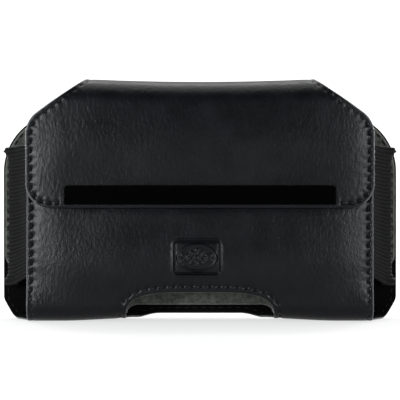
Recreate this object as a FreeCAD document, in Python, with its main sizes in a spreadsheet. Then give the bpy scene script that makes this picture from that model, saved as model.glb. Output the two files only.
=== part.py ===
"""A horizontal leather belt pouch: one folded leather wrap, elastic side gussets,
a two-crease magnetic flap with a trim bar, and a sprung belt clip on the back.

Millimetres. +Z up, X across, -Y is the front. The origin is under the middle of the
pouch, clip included, on the surface that it stands on.
"""

import FreeCAD, Part
import math
import os
import re

import Sketcher

DIMS = {
    # the pouch: one wrap folded under the device, front panel narrower than the back
    "top": 80.5,
    "front_top": 70.0,
    "front_half": 57.4,
    "front_round": 11.0,
    "back_half": 67.0,
    "back_foot": 61.5,
    "back_low": 7.0,
    "back_low_round": 5.0,
    "back_shoulder": 61.4,
    "back_shoulder_round": 20.0,
    "hinge_half": 38.0,
    "hinge_low": 78.6,
    "half_depth": 11.0,
    "mid_y": -3.15,
    "fold_round": 6.0,
    "mouth_round": 4.0,
    # the layers of the wrap
    "leather": 1.2,
    "felt": 1.6,
    "felt_margin": 0.7,
    "felt_corner": 13.0,
    "board": 0.8,
    "thread": 0.3,
    "thread_width": 0.6,
    "seam_margin": 1.3,
    "seam_low": 1.2,
    # the thumb cut-out in the bottom fold
    "cut_half": 24.2,
    "cut_rear_half": 19.5,
    "cut_top": 9.7,
    "cut_round": 8.0,
    "cut_rear": 8.7,
    "cut_felt_low": 3.9,
    "cut_seam": 2.1,
    # the elastic side gussets
    "gusset_low": 14.5,
    "gusset_high": 58.5,
    "elastic": 1.0,
    "gusset_front": 57.3,
    "gusset_rear": 65.0,
    "gusset_tab": 6.0,
    # the flap: two creases, front roll and rear roll
    "flap_low": 37.7,
    "flap_half": 57.5,
    "flap_shoulder": 66.3,
    "flap_shoulder_round": 8.0,
    "flap_corner_round": 8.0,
    "flap_leather": 1.1,
    "flap_felt": 1.5,
    "flap_gap": 0.5,
    "front_roll": 8.0,
    "rear_roll": 4.0,
    "split_gap": 0.15,
    # the closure: trim bar on the flap, round magnets behind both leathers
    "bar_half": 44.5,
    "bar_low": 38.7,
    "bar_high": 45.0,
    "bar_thick": 1.0,
    "bar_round": 1.2,
    "peg_half": 38.0,
    "peg_height": 41.8,
    "peg_round": 1.0,
    "peg_washer_round": 2.5,
    "peg_washer": 0.4,
    "magnet_half": 22.0,
    "magnet_round": 5.0,
    "magnet": 1.1,
    "magnet_height": 44.5,
    # the stiffening boards
    "front_board_half": 50.0,
    "front_board_low": 13.0,
    "front_board_high": 67.0,
    "back_board_half": 56.0,
    "back_board_low": 9.0,
    "back_board_high": 72.0,
    "flap_board_half": 50.0,
    "flap_board_low": 51.5,
    "flap_board_high": 69.0,
    # the belt clip
    "clip_half": 17.0,
    "clip_low": 26.0,
    "clip_high": 69.0,
    "clip_base": 1.8,
    "clip_round": 3.0,
    "ear_in": 13.2,
    "ear_out": 15.7,
    "ear_round": 2.8,
    "pin_y": 15.8,
    "pin_z": 61.0,
    "pin_round": 1.25,
    "pin_half": 16.2,
    "pin_play": 0.05,
    "arm_half": 15.0,
    "arm_in": 19.0,
    "arm_out": 21.4,
    "arm_high": 76.0,
    "arm_bend": 24.0,
    "arm_toe": 10.5,
    "toe_thick": 2.5,
    "lug_in": 6.0,
    "lug_out": 12.9,
    "lug_round": 2.55,
    "rivet_half": 11.0,
    "rivet_low": 31.0,
    "rivet_high": 50.0,
    "rivet_round": 1.5,
    "rivet_head": 3.0,
    "rivet_head_thick": 0.8,
    "rivet_washer_round": 3.5,
    "rivet_washer": 0.6,
    "coil_round": 2.2,
    "wire_round": 0.35,
    "coil_pitch": 0.9,
    "coil_turns": 6.0,
    "spring_leg": 7.0,
    "spring_play": 0.05,
}
REACH = "40"  # a cutting prism's length, past every surface of the pouch
OUT = "parts"

doc = FreeCAD.newDocument("belt_pouch")
sheet = doc.addObject("Spreadsheet::Sheet", "dims")
for row, (name, size) in enumerate(DIMS.items(), 1):
    sheet.set(f"A{row}", name)
    sheet.set(f"B{row}", str(size))
    sheet.setAlias(f"B{row}", name)
doc.recompute()
parts = []


def bound(expression):
    """The expression with each size's name pointed at its cell."""
    return re.sub(r"[a-z_]+", lambda word: "dims." + word[0], expression)


def bind(thing, prop, expression):
    thing.setExpression(prop, bound(expression))


def size(name):
    return float(sheet.get(name))


def outline(body, plane, corners, start="0"):
    """A closed polygon sketch whose corners are bound to the sheet, on one of the body's planes."""
    sketch = body.newObject("Sketcher::SketchObject", body.Name + "_outline")
    origin = next(o for o in body.Origin.OriginFeatures if o.Role == plane)
    sketch.AttachmentSupport = [(origin, "")]
    sketch.MapMode = "FlatFace"
    bind(sketch, "AttachmentOffset.Base.z", start)
    count = len(corners)
    ring = [
        FreeCAD.Vector(math.cos(turn), math.sin(turn), 0)
        for turn in (2 * math.pi * i / count for i in range(count))
    ]
    for i in range(count):
        sketch.addGeometry(Part.LineSegment(ring[i], ring[(i + 1) % count]))
    for i in range(count):
        sketch.addConstraint(Sketcher.Constraint("Coincident", i, 2, (i + 1) % count, 1))
    for i, corner in enumerate(corners):
        for kind, place, value in zip(("DistanceX", "DistanceY"), ring[i], corner):
            made = sketch.addConstraint(Sketcher.Constraint(kind, -1, 1, i, 1, place))
            bind(sketch, f"Constraints[{made}]", value)
    doc.recompute()
    return sketch


def corner_edges(feature, sketch, numbers, along):
    """Names of the feature's straight edges that stand on the sketch's numbered corners."""
    found = []
    for number in numbers:
        foot = sketch.Placement.multVec(sketch.Geometry[number].StartPoint)
        for i, edge in enumerate(feature.Shape.Edges, 1):
            ends = [v.Point for v in edge.Vertexes]
            if len(ends) < 2 or (ends[1] - ends[0]).cross(along).Length > 1e-6:
                continue
            if (ends[0] - foot).cross(along).Length < 1e-4:
                found.append(f"Edge{i}")
    return found


def prism(label, plane, corners, length, both=False, back=False, rounds=None, start="0"):
    """A padded polygon, with the numbered corners in rounds rounded: {radius: [corner, ...]}.

    From XZ_Plane the pad runs to -Y, or to +Y with back; both pads it evenly to each side.
    """
    body = doc.addObject("PartDesign::Body", label)
    body.Label = label
    bind(body, "Placement.Base.y", "mid_y")
    sketch = outline(body, plane, corners, start)
    pad = body.newObject("PartDesign::Pad", label + "_pad")
    pad.Profile = sketch
    bind(pad, "Length", length)
    pad.Midplane = both
    pad.Reversed = back
    doc.recompute()
    along = sketch.Placement.Rotation.multVec(FreeCAD.Vector(0, 0, 1))
    feature = pad
    for radius, numbers in (rounds or {}).items():
        names = corner_edges(feature, sketch, numbers, along)
        if len(names) != len(numbers):
            raise RuntimeError(f"{label}: found edges {names} for corners {numbers}")
        rounded = body.newObject("PartDesign::Fillet", label + "_round")
        rounded.Base = (feature, names)
        bind(rounded, "Radius", radius)
        body.Tip = rounded
        doc.recompute()
        feature = rounded
    return body


def mirrored(corners):
    """A right-hand half outline, listed upwards, closed by its mirror image."""
    return [("-(" + x + ")", z) for x, z in corners] + corners[::-1]


def rod(label, radius, length, x, y, z, along):
    """A cylinder whose foot is at x, y, z and which runs along +X or -Y."""
    turned = doc.addObject("Part::Cylinder", label)
    turned.Label = label
    bind(turned, "Radius", radius)
    bind(turned, "Height", length)
    aim = {"+X": FreeCAD.Vector(1, 0, 0), "-Y": FreeCAD.Vector(0, -1, 0)}[along]
    turned.Placement.Rotation = FreeCAD.Rotation(FreeCAD.Vector(0, 0, 1), aim)
    bind(turned, "Placement.Base.x", x)
    bind(turned, "Placement.Base.y", f"mid_y + {y}")
    bind(turned, "Placement.Base.z", z)
    return turned


def cut(label, base, *tools):
    for i, tool in enumerate(tools):
        made = doc.addObject("Part::Cut", label if i == len(tools) - 1 else label + "_cut")
        made.Base, made.Tool = base, tool
        base = made
    base.Label = label
    return base


def common(label, first, second):
    made = doc.addObject("Part::Common", label)
    made.Base, made.Tool, made.Label = first, second, label
    return made


def fuse(label, *shapes):
    made = doc.addObject("Part::MultiFuse", label)
    made.Shapes, made.Label = list(shapes), label
    return made


def keep(thing):
    """Marks an object as one of the finished sub-parts."""
    parts.append(thing)
    return thing


# ---- section and outline makers ----


def wrap_shell(label, outer, inner):
    """The U of the wrap between two depths below its outer surface, with the rear roll on top."""
    front, rear = f"-half_depth + {outer}", f"half_depth - {outer}"
    front_in, rear_in = f"-half_depth + {inner}", f"half_depth - {inner}"
    corners = [
        (front, "front_top"),
        (front, outer),
        (rear, outer),
        (rear, f"top - {outer}"),
        ("0", f"top - {outer}"),
        ("0", f"top - {inner}"),
        (rear_in, f"top - {inner}"),
        (rear_in, inner),
        (front_in, inner),
        (front_in, "front_top"),
    ]
    rounds = {
        f"fold_round - {outer}": [1, 2],
        f"fold_round - {inner}": [7, 8],
        f"rear_roll - {outer}": [3],
        f"rear_roll - {inner}": [6],
    }
    return prism(label, "YZ_Plane", corners, "2 * back_half + 2", both=True, rounds=rounds)


def flap_shell(label, outer, inner):
    """The flap's section between two depths below its outer surface, rear roll to lower edge."""
    face = f"-(half_depth + flap_gap + flap_felt + flap_leather) + {outer}"
    face_in = f"-(half_depth + flap_gap + flap_felt + flap_leather) + {inner}"
    leg = "top - 2 * rear_roll"
    corners = [
        (face, "flap_low"),
        (face, f"top - {outer}"),
        (f"half_depth - {outer}", f"top - {outer}"),
        (f"half_depth - {outer}", leg),
        (f"half_depth - {inner}", leg),
        (f"half_depth - {inner}", f"top - {inner}"),
        (face_in, f"top - {inner}"),
        (face_in, "flap_low"),
    ]
    rounds = {
        f"front_roll - {outer}": [1],
        f"rear_roll - {outer}": [2],
        f"rear_roll - {inner}": [5],
        f"front_roll - {inner}": [6],
    }
    return prism(label, "YZ_Plane", corners, "2 * flap_half + 2", both=True, rounds=rounds)


def strip_zone(label, gap):
    """The wedge that holds the flap's top strip, between the 45 degree lines of both rolls."""
    rear_y, rear_z = f"half_depth - rear_roll + {gap}", "top - rear_roll"
    front_y = f"-(half_depth + flap_gap + flap_felt + flap_leather) + front_roll - {gap}"
    front_z = "top - front_roll"
    corners = [
        (rear_y, rear_z),
        (f"{rear_y} + rear_roll * 2", f"{rear_z} + rear_roll * 2"),
        (f"{front_y} - front_roll * 2", f"{front_z} + front_roll * 2"),
        (front_y, front_z),
    ]
    return prism(label, "YZ_Plane", corners, "3 * back_half", both=True)


def wrap_outline(label, inset):
    """What the wrap's blank leaves, seen from the front: straight front half, shaped back half."""
    front = prism(
        label + "_front",
        "XZ_Plane",
        mirrored([("front_half", "-1"), ("front_half", "front_top")]),
        REACH,
        rounds={"front_round": [1, 2]},
    )
    return fuse(label, front, back_outline(label + "_back", inset))


def back_outline(label, inset):
    """The back half's outline. Chamfer and lower corners slide as the inset moves them in."""
    corners = [
        (f"back_foot - 1.27 * {inset}", "0"),
        (f"back_half - {inset}", f"back_low + 0.34 * {inset}"),
        (f"back_half - {inset}", f"back_shoulder - 0.56 * {inset}"),
        (f"hinge_half - {inset}", f"hinge_low - 0.56 * {inset}"),
        (f"hinge_half - {inset}", "top + 1"),
    ]
    last = 2 * len(corners) - 1
    rounds = {
        f"back_low_round - {inset}": [1, last - 1],
        f"back_shoulder_round - {inset}": [2, last - 2],
    }
    return prism(label, "XZ_Plane", mirrored(corners), REACH, back=True, rounds=rounds)


def flap_outline(label, inset):
    """The flap seen from the front, from its lower edge to the end of its front roll."""
    corners = [
        (f"flap_half - {inset}", f"flap_low + {inset}"),
        (f"flap_half - {inset}", f"flap_shoulder - 0.5 * {inset}"),
        (f"hinge_half - {inset}", f"top - 0.5 * {inset}"),
        (f"hinge_half - {inset}", "top + 1"),
    ]
    last = 2 * len(corners) - 1
    rounds = {
        f"flap_corner_round - {inset}": [0, last],
        f"flap_shoulder_round - {inset}": [1, last - 1],
    }
    roll_start = "half_depth + flap_gap + flap_felt + flap_leather - front_roll"
    return prism(
        label, "XZ_Plane", mirrored(corners), REACH, rounds=rounds, start=roll_start
    )


def arch(label, grow, low):
    """The front of the thumb cut-out, grown on all sides but the bottom."""
    corners = mirrored(
        [(f"cut_half + {grow}", low), (f"cut_half + {grow}", f"cut_top + {grow}")]
    )
    return prism(label, "XZ_Plane", corners, REACH, rounds={f"cut_round + {grow}": [1, 2]})


def slab(label, half, low, high, front, rear, rounds=None):
    """A box from low to high and from front to rear, centred across the pouch."""
    corners = mirrored([(half, low), (half, high)])
    return prism(
        label,
        "XZ_Plane",
        corners,
        f"({rear}) - ({front})",
        rounds=rounds,
        start=f"-({rear})",
    )


# ---- the wrap and what is sewn into it ----


def gusset_web(label):
    """The right elastic gusset: a tab behind each panel and the web between them."""
    front = "-half_depth + leather"
    rear = "half_depth - leather"
    corners = [
        ("gusset_front - gusset_tab", front),
        ("gusset_front", front),
        ("gusset_rear", rear),
        ("gusset_rear - gusset_tab", rear),
        ("gusset_rear - gusset_tab", f"{rear} - elastic"),
        ("gusset_rear - elastic", f"{rear} - elastic"),
        ("gusset_front - 0.7 * elastic", f"{front} + elastic"),
        ("gusset_front - gusset_tab", f"{front} + elastic"),
    ]
    return prism(
        label, "XY_Plane", corners, "gusset_high - gusset_low", start="gusset_low"
    )


def make_gussets():
    right = keep(gusset_web("right_gusset"))
    left = doc.addObject("Part::Mirroring", "left_gusset")
    left.Label = "left_gusset"
    left.Source = right
    left.Normal = FreeCAD.Vector(1, 0, 0)
    return keep(left), right


def thumb_cut(label):
    """The cut-out's arch in the front panel and its round-cornered way under the fold."""
    way = [
        ("cut_half", "-1"),
        ("cut_half", "0.3 * cut_rear"),
        ("cut_rear_half", "cut_rear"),
    ]
    under = prism(
        label + "_under",
        "XY_Plane",
        mirrored(way),
        "fold_round",
        rounds={"mouth_round / 2": [2, 3]},
        start="-1",
    )
    return fuse(label, arch(label + "_front", "0", "-1"), under)


def front_magnet(side, sign):
    return rod(
        f"front_magnet_{side}",
        "magnet_round",
        "magnet",
        f"{sign} magnet_half",
        "magnet - half_depth + leather",
        "magnet_height",
        "-Y",
    )


def rivet(side, sign, height):
    """Countersunk head in the clip's base, and a shank through to its washer."""
    name = f"rivet_{side}_{height}"
    x, z = f"{sign} rivet_half", f"rivet_{height}"
    face = "half_depth + clip_base"
    end = "half_depth - leather - board - rivet_washer"
    head = rod(name + "_head", "rivet_head", "rivet_head_thick", x, face, z, "-Y")
    shank = rod(name + "_shank", "rivet_round", f"{face} - ({end})", x, face, z, "-Y")
    return fuse(name, head, shank)


def rivet_washer(side, sign, height):
    return rod(
        f"rivet_washer_{side}_{height}",
        "rivet_washer_round",
        "rivet_washer",
        f"{sign} rivet_half",
        "half_depth - leather - board",
        f"rivet_{height}",
        "-Y",
    )


def make_wrap():
    gussets = make_gussets()
    sides = (("left", "-"), ("right", "+"))
    magnets = keep(fuse("front_magnets", *[front_magnet(*side) for side in sides]))
    places = [(side, sign, height) for side, sign in sides for height in ("low", "high")]
    rivets = keep(fuse("clip_rivets", *[rivet(*place) for place in places]))
    discs = fuse("rivet_washer_discs", *[rivet_washer(*place) for place in places])
    washers = keep(cut("rivet_washers", discs, rivets))

    beyond = strip_zone("beyond_rear_crease", "split_gap")
    blank = common(
        "wrap_blank",
        wrap_shell("wrap_section", "0", "leather"),
        wrap_outline("wrap_edge", "0"),
    )
    keep(cut("outer_wrap", blank, beyond, thumb_cut("thumb_cut"), rivets))

    front_board = slab(
        "front_card",
        "front_board_half",
        "front_board_low",
        "front_board_high",
        "-half_depth + leather",
        "-half_depth + leather + board",
        rounds={"mouth_round": [0, 1, 2, 3]},
    )
    front_board = keep(cut("front_board", front_board, magnets))
    back_board = slab(
        "back_card",
        "back_board_half",
        "back_board_low",
        "back_board_high",
        "half_depth - leather - board",
        "half_depth - leather",
        rounds={"back_shoulder_round * 0.8": [1, 2], "mouth_round": [0, 3]},
    )
    back_board = keep(cut("back_board", back_board, rivets))

    felt = common(
        "felt_blank",
        wrap_shell("felt_section", "leather", "(leather + felt)"),
        wrap_outline("felt_edge", "felt_margin"),
    )
    rear_way = slab(
        "felt_rear_way", "cut_rear_half", "-1", "cut_felt_low", "cut_rear - 4", "half_depth"
    )
    low_sides = cut(
        "felt_low_sides",
        slab("felt_low_band", "2 * back_half", "-1", "felt_corner", "0", "2 * half_depth"),
        slab("felt_low_middle", "front_half", "-2", "felt_corner + 1", "-1", "3 * half_depth"),
    )
    pockets = [*gussets, magnets, front_board, back_board, rivets, washers]
    ways = [
        strip_zone("felt_beyond_crease", "split_gap"),
        thumb_cut("felt_thumb_cut"),
        rear_way,
        low_sides,
    ]
    keep(cut("body_lining", felt, *ways, *pockets))


def side_band(side, sign):
    """The strip of front panel that one side seam runs in, up to the mouth's rounded corner."""
    edge, end = "front_half - seam_margin", "front_top - front_round"
    corners = [
        (f"{sign}({edge})", "seam_low"),
        (f"{sign}({edge} - thread_width)", "seam_low"),
        (f"{sign}({edge} - thread_width)", end),
        (f"{sign}({edge})", end),
    ]
    return prism(f"front_seam_band_{side}", "XZ_Plane", corners, REACH)


def make_wrap_seams():
    """The sewing threads, as fine ridges on the leather."""
    skin = wrap_shell("thread_section", "(-thread)", "0")
    bands = [side_band(side, sign) for side, sign in (("left", "-"), ("right", "+"))]
    keep(common("front_seams", skin, fuse("front_seam_bands", *bands)))

    above = arch("cut_seam_outside", "(cut_seam + thread_width)", "seam_low")
    ring = cut("cut_seam_band", above, arch("cut_seam_inside", "cut_seam", "0"))
    keep(common("cutout_seam", skin, ring))

    outside = back_outline("back_seam_outside", "seam_margin")
    inside = back_outline("back_seam_inside", "(seam_margin + thread_width)")
    middle = slab("back_seam_middle", "hinge_half", "-2", "top + 2", "0", "2 * half_depth")
    foot = slab("back_seam_foot", "2 * back_half", "-2", "seam_low", "0", "2 * half_depth")
    keep(common("back_seams", skin, cut("back_seam_band", outside, inside, middle, foot)))


# ---- the flap ----


def flap_magnet(side, sign):
    return rod(
        f"flap_magnet_{side}",
        "magnet_round",
        "magnet",
        f"{sign} magnet_half",
        "magnet - (half_depth + flap_gap + flap_felt)",
        "magnet_height",
        "-Y",
    )


def bar_peg(name, sign):
    """A peg on the bar's back that goes through the flap's leather and its washer."""
    face = "half_depth + flap_gap + flap_felt + flap_leather"
    reach = "flap_leather + peg_washer"
    return rod(
        f"bar_peg_{name}",
        "peg_round",
        reach,
        f"{sign} peg_half",
        f"{reach} - ({face})",
        "peg_height",
        "-Y",
    )


def peg_washer(name, sign):
    return rod(
        f"bar_washer_{name}",
        "peg_washer_round",
        "peg_washer",
        f"{sign} peg_half",
        "peg_washer - (half_depth + flap_gap + flap_felt)",
        "peg_height",
        "-Y",
    )


def make_bar():
    face = "-(half_depth + flap_gap + flap_felt + flap_leather)"
    plate = slab(
        "bar_plate",
        "bar_half",
        "bar_low",
        "bar_high",
        f"{face} - bar_thick",
        face,
        rounds={"bar_round": [1, 2]},
    )
    pegs = [bar_peg("left", "-"), bar_peg("middle", "0 *"), bar_peg("right", "+")]
    return keep(fuse("flap_bar", plate, *pegs))


def make_flap():
    sides = (("left", "-"), ("right", "+"))
    magnets = keep(fuse("flap_magnets", *[flap_magnet(*side) for side in sides]))
    bar = make_bar()
    discs = [peg_washer("left", "-"), peg_washer("middle", "0 *"), peg_washer("right", "+")]
    washers = keep(cut("bar_washers", fuse("bar_washer_discs", *discs), bar))

    board = keep(
        slab(
            "flap_board",
            "flap_board_half",
            "flap_board_low",
            "flap_board_high",
            "-(half_depth + flap_gap + flap_felt)",
            "-(half_depth + flap_gap + flap_felt) + board",
            rounds={"mouth_round": [0, 1, 2, 3]},
        )
    )
    roll_start = "-(half_depth + flap_gap + flap_felt + flap_leather) + front_roll"
    top_part = slab(
        "flap_edge_top",
        "hinge_half",
        "top - 3 * rear_roll",
        "top + 1",
        roll_start,
        "half_depth + 1",
    )
    edge = fuse("flap_edge", flap_outline("flap_edge_front", "0"), top_part)
    strip = strip_zone("strip_zone", "-split_gap")
    beyond = strip_zone("beyond_front_crease", "split_gap")
    behind = slab(
        "behind_flap_roll", "2 * flap_half", "-1", "top + 1", roll_start, "2 * half_depth"
    )
    layers = {
        "leather": ("0", "flap_leather", [bar]),
        "lining": ("flap_leather", "(flap_leather + flap_felt)", [magnets, board, washers, bar]),
    }
    for layer, (outer, inner, pockets) in layers.items():
        whole = common(
            f"flap_{layer}_whole", flap_shell(f"flap_{layer}_section", outer, inner), edge
        )
        keep(common(f"flap_top_{layer}", whole, strip))
        keep(cut(f"flap_front_{layer}", whole, beyond, behind, *pockets))

    inside = flap_outline("flap_seam_inside", "(seam_margin + thread_width)")
    band = cut("flap_seam_band", flap_outline("flap_seam_outside", "seam_margin"), inside)
    skin = common("flap_seam_skin", flap_shell("flap_thread_section", "(-thread)", "0"), band)
    bar_room = slab(
        "bar_room", "bar_half + bar_round", "0", "bar_high", "-2 * half_depth", "0"
    )
    keep(cut("flap_seams", skin, beyond, behind, bar_room))


# ---- the belt clip ----


def clip_ear(side, sign):
    """One lug of the base, rounded about the pin."""
    foot, half = "half_depth + clip_base", "ear_round"
    corners = [
        (foot, f"pin_z - {half}"),
        (f"pin_y + {half}", f"pin_z - {half}"),
        (f"pin_y + {half}", f"pin_z + {half}"),
        (foot, f"pin_z + {half}"),
    ]
    width = "ear_out - ear_in"
    start = "ear_in" if sign == "+" else "-ear_out"
    return prism(
        f"clip_ear_{side}",
        "YZ_Plane",
        corners,
        width,
        rounds={f"{half} * 0.98": [1, 2]},
        start=start,
    )


def make_clip_base(rivets):
    plate = slab(
        "clip_plate",
        "clip_half",
        "clip_low",
        "clip_high",
        "half_depth",
        "half_depth + clip_base",
        rounds={"clip_round": [0, 1, 2, 3]},
    )
    ears = [clip_ear(side, sign) for side, sign in (("left", "-"), ("right", "+"))]
    body = fuse("clip_base_body", plate, *ears)
    bore = rod("clip_bore", "pin_round", "4 * ear_out", "-2 * ear_out", "pin_y", "pin_z", "+X")
    keep(cut("clip_base", body, bore, rivets))


def clip_lug(side, sign):
    """One hinge lug of the arm, from its plate to round the pin."""
    corners = [
        ("pin_y - lug_round", "pin_z - lug_round"),
        ("arm_in", "pin_z - lug_round"),
        ("arm_in", "pin_z + lug_round"),
        ("pin_y - lug_round", "pin_z + lug_round"),
    ]
    start = "lug_in" if sign == "+" else "-lug_out"
    return prism(
        f"clip_lug_{side}",
        "YZ_Plane",
        corners,
        "lug_out - lug_in",
        rounds={"lug_round * 0.98": [0, 3]},
        start=start,
    )


def make_clip_arm():
    """Thumb plate, bend and toe in one side profile, with two lugs on the pin."""
    corners = [
        ("arm_in", "arm_high"),
        ("arm_in", "arm_bend"),
        ("arm_in - 3.2", "arm_toe + toe_thick"),
        ("half_depth + 0.7", "arm_toe + toe_thick"),
        ("half_depth + 0.7", "arm_toe"),
        ("arm_out - 4.6", "arm_toe"),
        ("arm_out", "arm_bend - 2"),
        ("arm_out", "arm_high"),
    ]
    rounds = {"toe_thick * 2": [5], "toe_thick * 0.5": [4], "toe_thick * 0.3": [3, 7]}
    plate = prism(
        "clip_arm_plate", "YZ_Plane", corners, "2 * arm_half", both=True, rounds=rounds
    )
    lugs = [clip_lug(side, sign) for side, sign in (("left", "-"), ("right", "+"))]
    body = fuse("clip_arm_body", plate, *lugs)
    bore = rod(
        "clip_arm_bore",
        "pin_round + pin_play",
        "2 * ear_out",
        "-ear_out",
        "pin_y",
        "pin_z",
        "+X",
    )
    corner_cut = cut(
        "clip_arm_corners",
        slab("clip_arm_ends", "2 * arm_half", "0", "top", "half_depth", "2 * arm_out"),
        slab(
            "clip_arm_face",
            "arm_half",
            "arm_toe",
            "arm_high",
            "half_depth",
            "2 * arm_out",
            rounds={"clip_round * 2": [1, 2], "clip_round": [0, 3]},
        ),
    )
    keep(cut("clip_arm", body, bore, corner_cut))


def make_clip_spring():
    """A torsion spring about the pin: a closed-wound coil with a straight leg at each end.

    Both legs stand upwards, one against the base and one against the thumb plate, and push
    them apart. The legs leave the coil along its own tangents, so the path is drawn whole
    from the sheet's sizes.
    """
    coil, wire, pitch = size("coil_round"), size("wire_round"), size("coil_pitch")
    turns, leg = size("coil_turns"), size("spring_leg")
    reach = coil + wire + size("spring_play")
    base_gap = size("pin_y") - reach - size("half_depth") - size("clip_base")
    arm_gap = size("arm_in") - size("pin_y") - reach
    base_lean, arm_lean = math.asin(base_gap / leg), math.asin(arm_gap / leg)
    sweep = 2 * math.pi * turns + math.pi - base_lean - arm_lean
    helix = Part.makeHelix(pitch, pitch * sweep / (2 * math.pi), coil)
    curve = helix.Edges[0]
    ends = [curve.FirstParameter, curve.LastParameter]
    start, finish = (curve.valueAt(p) for p in ends)
    first, last = (curve.tangentAt(p).normalize() for p in ends)
    legs = [
        Part.makeLine(start - first * leg, start),
        Part.makeLine(finish, finish + last * leg),
    ]
    path = Part.Wire([legs[0], *helix.Edges, legs[1]])
    ring = Part.Wire(Part.makeCircle(wire, start - first * leg, first))
    spring = path.makePipeShell([ring], True, True)
    thing = keep(doc.addObject("Part::Feature", "clip_spring"))
    thing.Label = "clip_spring"
    thing.Shape = spring
    upright = FreeCAD.Rotation(FreeCAD.Vector(0, 1, 0), 90)
    lean = FreeCAD.Rotation(FreeCAD.Vector(1, 0, 0), math.degrees(base_lean) - 90)
    middle = -pitch * sweep / (4 * math.pi)
    thing.Placement = FreeCAD.Placement(
        FreeCAD.Vector(middle, size("mid_y") + size("pin_y"), size("pin_z")),
        lean.multiply(upright),
    )


def make_clip():
    rivets = next(p for p in parts if p.Label == "clip_rivets")
    make_clip_base(rivets)
    pin = rod("clip_pin", "pin_round", "2 * pin_half", "-pin_half", "pin_y", "pin_z", "+X")
    keep(pin)
    make_clip_arm()
    make_clip_spring()


def write_parts():
    doc.recompute()
    for thing in doc.Objects:
        bad = [state for state in thing.State if state in ("Invalid", "Error")]
        if bad:
            raise RuntimeError(f"{thing.Label} is {bad[0]}")
    os.makedirs(OUT, exist_ok=True)
    for part in parts:
        shape = part.Shape
        if shape.isNull() or not shape.isValid() or shape.Volume <= 0:
            raise RuntimeError(f"{part.Label} has no valid solid")
        shape.exportStep(os.path.join(OUT, part.Label + ".step"))
        box = shape.BoundBox
        print(
            f"{part.Label:20s} solids {len(shape.Solids)} volume {shape.Volume:9.1f}"
            f"  x {box.XMin:6.1f} {box.XMax:6.1f}  y {box.YMin:6.1f} {box.YMax:6.1f}"
            f"  z {box.ZMin:5.1f} {box.ZMax:5.1f}"
        )


make_wrap()
make_wrap_seams()
make_flap()
make_clip()
write_parts()
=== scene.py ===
"""The looks of a horizontal leather belt pouch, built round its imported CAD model.

The leather is one flat blank, as it is cut on the bench: front panel, bottom fold, back panel,
top strip and flap. Its pieces, its felt lining and its stitches are all laid out on that blank,
with u across and s along it, and are then carried onto the side section that it is folded to.
Lengths are in millimetres here, and meshes are scaled to metres when they are made.
"""

import math

import bpy
import numpy as np
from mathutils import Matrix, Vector
from mathutils.geometry import delaunay_2d_cdt


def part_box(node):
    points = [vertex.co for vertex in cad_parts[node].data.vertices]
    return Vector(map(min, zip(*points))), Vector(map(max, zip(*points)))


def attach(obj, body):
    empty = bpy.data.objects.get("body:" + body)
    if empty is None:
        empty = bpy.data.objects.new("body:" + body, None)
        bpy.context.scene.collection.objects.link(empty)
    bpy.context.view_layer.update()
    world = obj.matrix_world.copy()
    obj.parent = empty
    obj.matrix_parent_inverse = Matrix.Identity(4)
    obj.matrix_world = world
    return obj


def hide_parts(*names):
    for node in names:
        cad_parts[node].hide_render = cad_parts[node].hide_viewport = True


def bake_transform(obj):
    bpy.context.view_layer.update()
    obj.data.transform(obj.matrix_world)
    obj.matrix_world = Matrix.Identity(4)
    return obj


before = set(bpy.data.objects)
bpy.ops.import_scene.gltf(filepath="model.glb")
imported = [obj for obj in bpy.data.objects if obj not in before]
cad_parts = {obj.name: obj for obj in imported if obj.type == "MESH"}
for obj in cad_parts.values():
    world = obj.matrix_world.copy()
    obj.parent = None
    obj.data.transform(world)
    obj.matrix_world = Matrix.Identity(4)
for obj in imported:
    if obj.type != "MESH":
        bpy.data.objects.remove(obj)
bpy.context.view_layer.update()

MM = 0.001


def box_mm(node):
    low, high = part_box(node)
    return np.array(low) / MM, np.array(high) / MM


# ---- sizes: places come from the frame, the rest are named here, in millimetres ----

WRAP_LOW, WRAP_HIGH = box_mm("outer_wrap")
FLAP_LOW, FLAP_HIGH = box_mm("flap_front_leather")
PIN_LOW, PIN_HIGH = box_mm("clip_pin")
GUSSET_LOW, GUSSET_HIGH = box_mm("right_gusset")
TOP = box_mm("flap_top_leather")[1][2]
BAR_REACH = box_mm("flap_bar")[1][0] + 1.5

FRONT_Y, BACK_Y, FLAP_Y = WRAP_LOW[1], WRAP_HIGH[1], FLAP_LOW[1]
MID_Y = (FRONT_Y + BACK_Y) / 2
FLAP_END = FLAP_LOW[2]
FRONT_TOP = 70.0
FRONT_HALF, FRONT_ROUND = 57.4, 11.0
BACK_HALF = WRAP_HIGH[0]
FLAP_HALF = FLAP_HIGH[0]
STRIP_HALF = 38.0
FOLD_R, REAR_R, FRONT_R = 6.0, 4.0, 8.0

LEATHER = 1.15
BOARD = 0.8
# the whole stack: the leather, and the felt, which gives up part of its thickness to the boards
LAYERS = 2.65
FELT_MARGIN = 0.7
SEAM_IN, CUT_SEAM_IN = 1.6, 2.1
# a stitch's pitch, the shares of it where its thread starts and how long that is, and how far its ends dip
STITCH, STITCH_START, STITCH_SHARE, STITCH_DIP = 3.0, 0.16, 0.68, 0.5
THREAD_R = 0.24


def unit(v):
    return v / np.maximum(np.linalg.norm(v, axis=-1, keepdims=True), 1e-9)


def smooth(x, low, high):
    """0 below low, 1 above high, and a smooth step between."""
    t = np.clip((x - low) / (high - low), 0, 1)
    return t * t * (3 - 2 * t)


def bell(x, width):
    return np.exp(-((x / width) ** 2))


def lengths(line):
    return np.concatenate([[0], np.cumsum(np.linalg.norm(np.diff(line, axis=0), axis=1))])


def resampled(line, step):
    """The line in even steps of about step."""
    along = lengths(line)
    at = np.linspace(0, along[-1], max(2, round(along[-1] / step) + 1))
    return np.column_stack([np.interp(at, along, line[:, k]) for k in range(line.shape[1])])


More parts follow.
